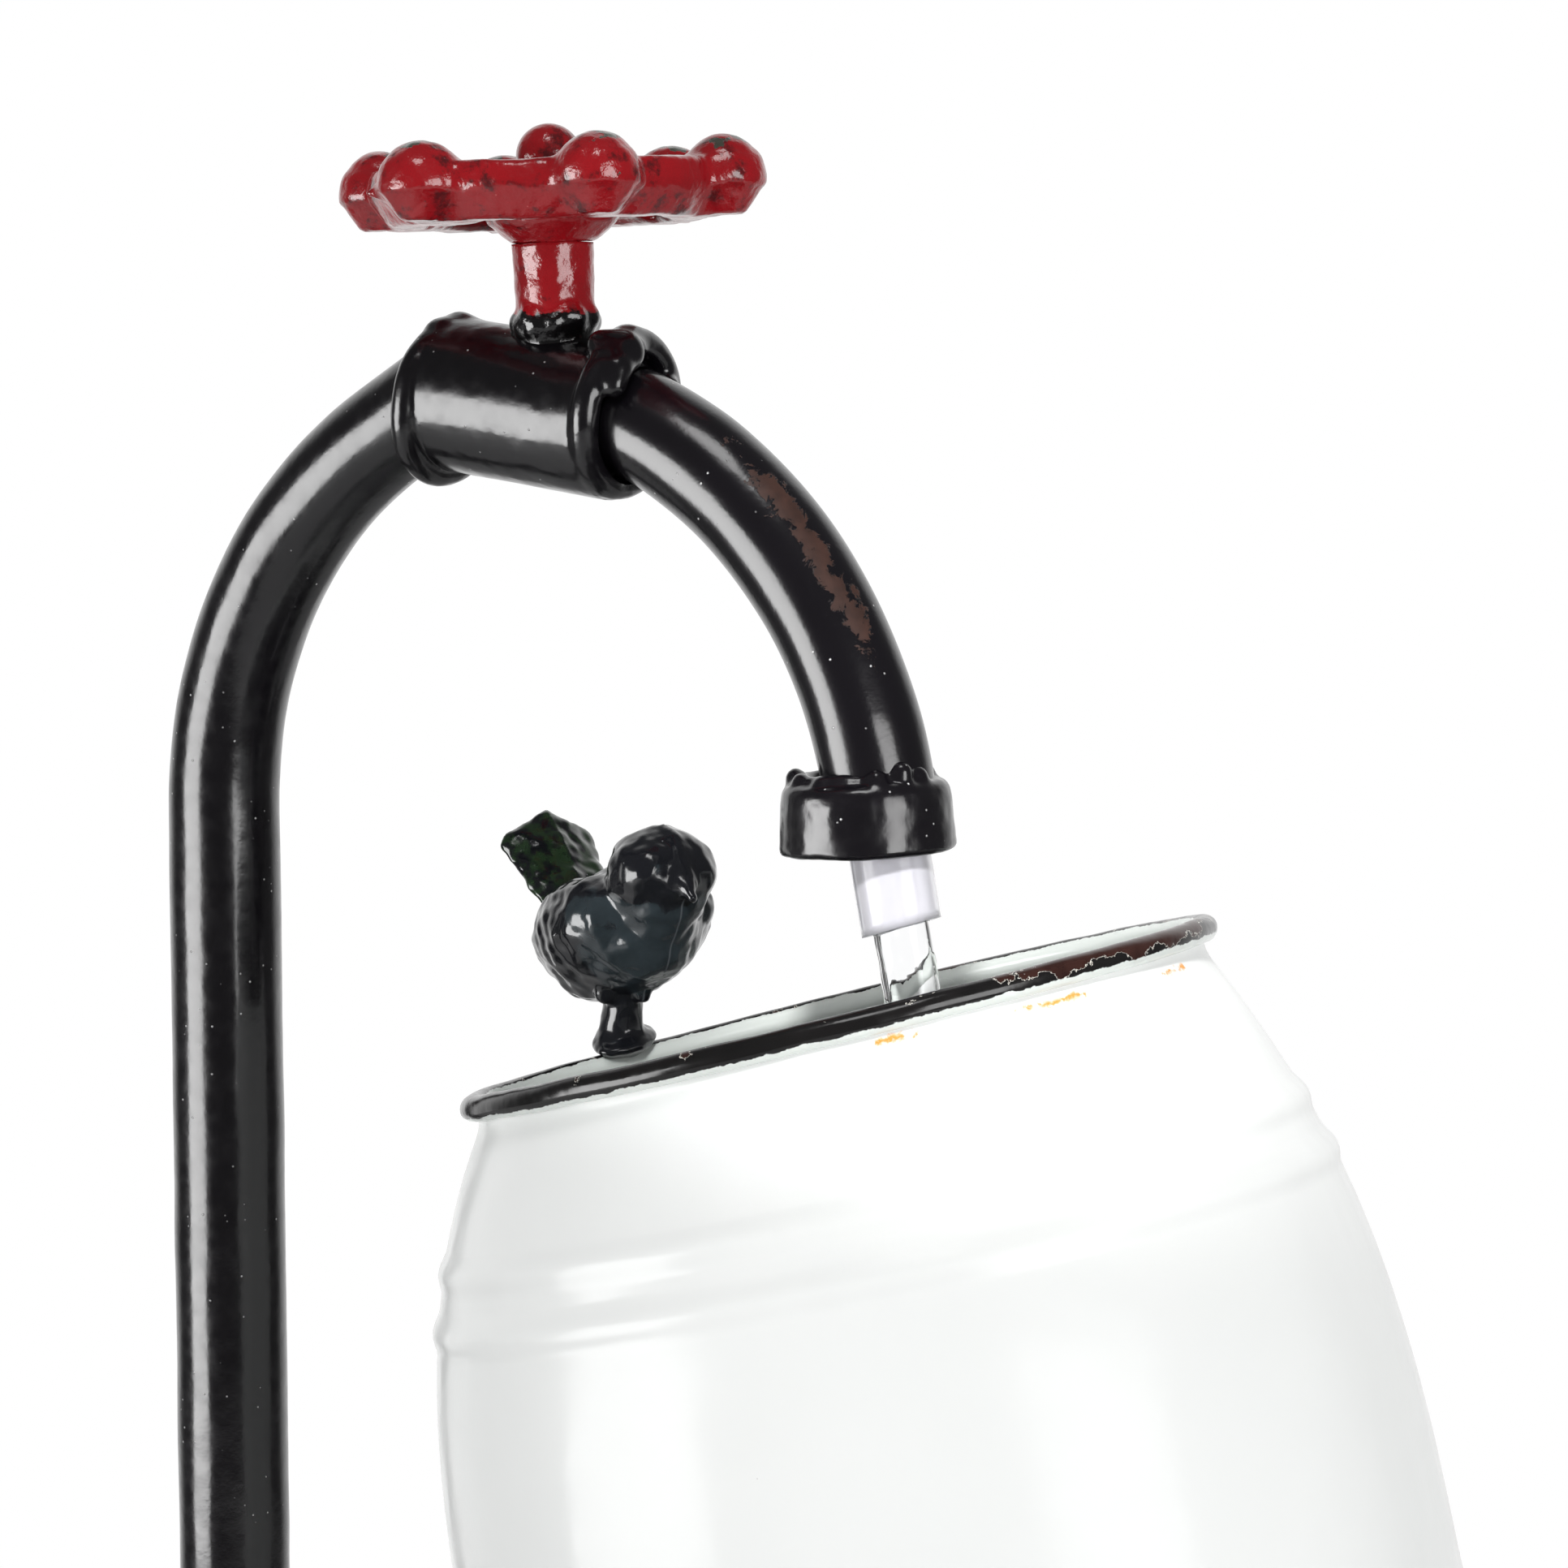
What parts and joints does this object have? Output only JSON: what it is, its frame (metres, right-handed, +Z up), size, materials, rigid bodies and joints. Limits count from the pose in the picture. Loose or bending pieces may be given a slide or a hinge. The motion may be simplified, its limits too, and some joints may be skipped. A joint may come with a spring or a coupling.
{
  "type": "tap and barrel water fountain",
  "caption": "Garden water fountain: a bent tap pipe with a red handwheel pours into a tilted enamelled barrel with a cast bird on its rim, above a round tub with a pump.",
  "frame": {"origin": "on the ground under the centre of the tub, which is the centre of the bounding box's underside", "axes": "+Z up, the longest extent; the arch of the pipes lies in the XZ plane with the stand pipe towards -X and the spout and barrel towards +X"},
  "size_m": [0.3999, 0.4, 0.6865],
  "materials": {
    "black_pipe_paint": "thick glossy black brushed paint over welds, with flecks and a bare brown worn patch on the spout",
    "red_wheel_paint": "glossy dark red paint on rough casting, chipped to grey-green on the lobes",
    "bird_paint": "thick glossy blue-black paint on a cast bird",
    "white_enamel": "smooth white vitreous enamel with small rust stains at the rim",
    "black_enamel": "black enamel on a rolled rim, chipped to brown with a pale edge",
    "clear_hose": "clear flexible plastic hose, faintly violet at its edges",
    "zinc_steel": "zinc-plated steel",
    "black_rubber": "matte black rubber",
    "pump_plastic": "fine-textured dark grey moulded plastic",
    "impeller_plastic": "smooth blue moulded plastic",
    "magnet_coating": "dark moulded skin over the rotor's magnet",
    "shaft_ceramic": "ground white ceramic",
    "water": "clear moving water"
  },
  "bodies": {
    "stand": {"stand_pipe": "black_pipe_paint", "spout_pipe": "black_pipe_paint", "tap_body": "black_pipe_paint", "inlet_ring": "black_pipe_paint", "outlet_ring": "black_pipe_paint", "spout_cap": "black_pipe_paint", "barrel_post": "black_pipe_paint", "barrel_saddle": "black_pipe_paint", "post_flange": "black_pipe_paint", "pipe_flange": "black_pipe_paint", "pump_bridge": "black_pipe_paint", "wheel_stem": "red_wheel_paint", "wheel_washer": "red_wheel_paint", "wheel_nut": "red_wheel_paint", "bird": "bird_paint", "barrel_shell": "white_enamel", "barrel_bottom": "white_enamel", "tub_shell": "white_enamel", "tub_floor": "white_enamel", "barrel_rim": "black_enamel", "barrel_foot_rim": "black_enamel", "tub_rim": "black_enamel", "water_hose": "clear_hose", "barrel_bolts": "zinc_steel", "barrel_nuts": "zinc_steel", "floor_bolts": "zinc_steel", "floor_nuts": "zinc_steel", "flange_bolts": "zinc_steel", "flange_nuts": "zinc_steel", "hose_clamp": "zinc_steel", "barrel_seals": "black_rubber", "floor_seals": "black_rubber", "tub_feet": "black_rubber", "cable_grommet": "black_rubber", "suction_feet": "black_rubber", "shaft_bushes": "black_rubber", "cable_gland": "black_rubber", "pump_housing": "pump_plastic", "pump_cover": "pump_plastic", "chamber_cover": "pump_plastic", "impeller_shaft": "shaft_ceramic"},
    "wheel": {"handwheel": "red_wheel_paint"},
    "rotor": {"impeller": "impeller_plastic", "rotor_magnet": "magnet_coating"},
    "dial": {"flow_dial": "impeller_plastic"}
  },
  "joints": [
    {"name": "handwheel_turn", "type": "hinge", "parent": "stand", "child": "wheel", "pos_m": [-0.03799, 0, 0.66898], "axis": [-0.0436, 0, 0.999], "continuous": true},
    {"name": "impeller_spin", "type": "hinge", "parent": "stand", "child": "rotor", "pos_m": [-0.13, 0, 0.042], "axis": [1, 0, 0], "continuous": true},
    {"name": "flow_dial_turn", "type": "hinge", "parent": "stand", "child": "dial", "pos_m": [-0.103, 0, 0.042], "axis": [1, 0, 0], "range_deg": [0, 45]}
  ]
}
